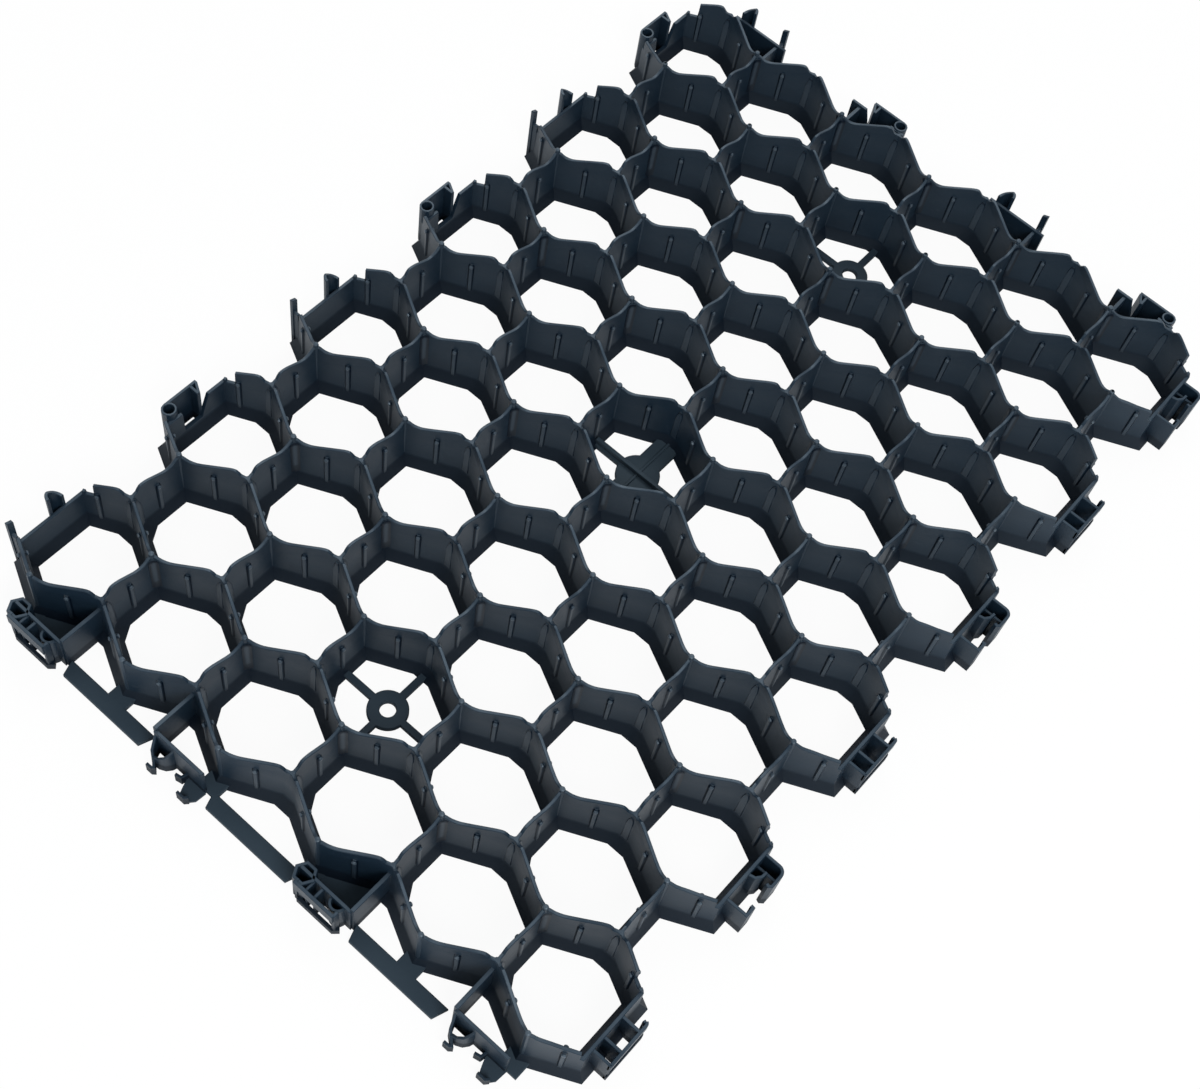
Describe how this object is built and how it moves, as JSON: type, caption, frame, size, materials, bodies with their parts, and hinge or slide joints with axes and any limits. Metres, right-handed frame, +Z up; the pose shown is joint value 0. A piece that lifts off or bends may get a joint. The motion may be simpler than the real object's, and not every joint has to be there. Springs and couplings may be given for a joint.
{
  "type": "gravel grid",
  "caption": "Rectangular moulded honeycomb panel with open cells, wavy rims and clip edges, laid flat on the ground to hold gravel.",
  "frame": {"origin": "on the underside, at the centre of the middle hub, which is the centre of the honeycomb", "axes": "+X along the panel's long side, away from the edging strip; +Y across it; +Z up, out of the open side of the cells"},
  "size_m": [0.6261, 0.4253, 0.0415],
  "materials": {
    "plastic": "blue-black moulded recycled plastic with a soft sheen"
  },
  "bodies": {
    "root": {"gravel_grid": "plastic"}
  },
  "joints": []
}
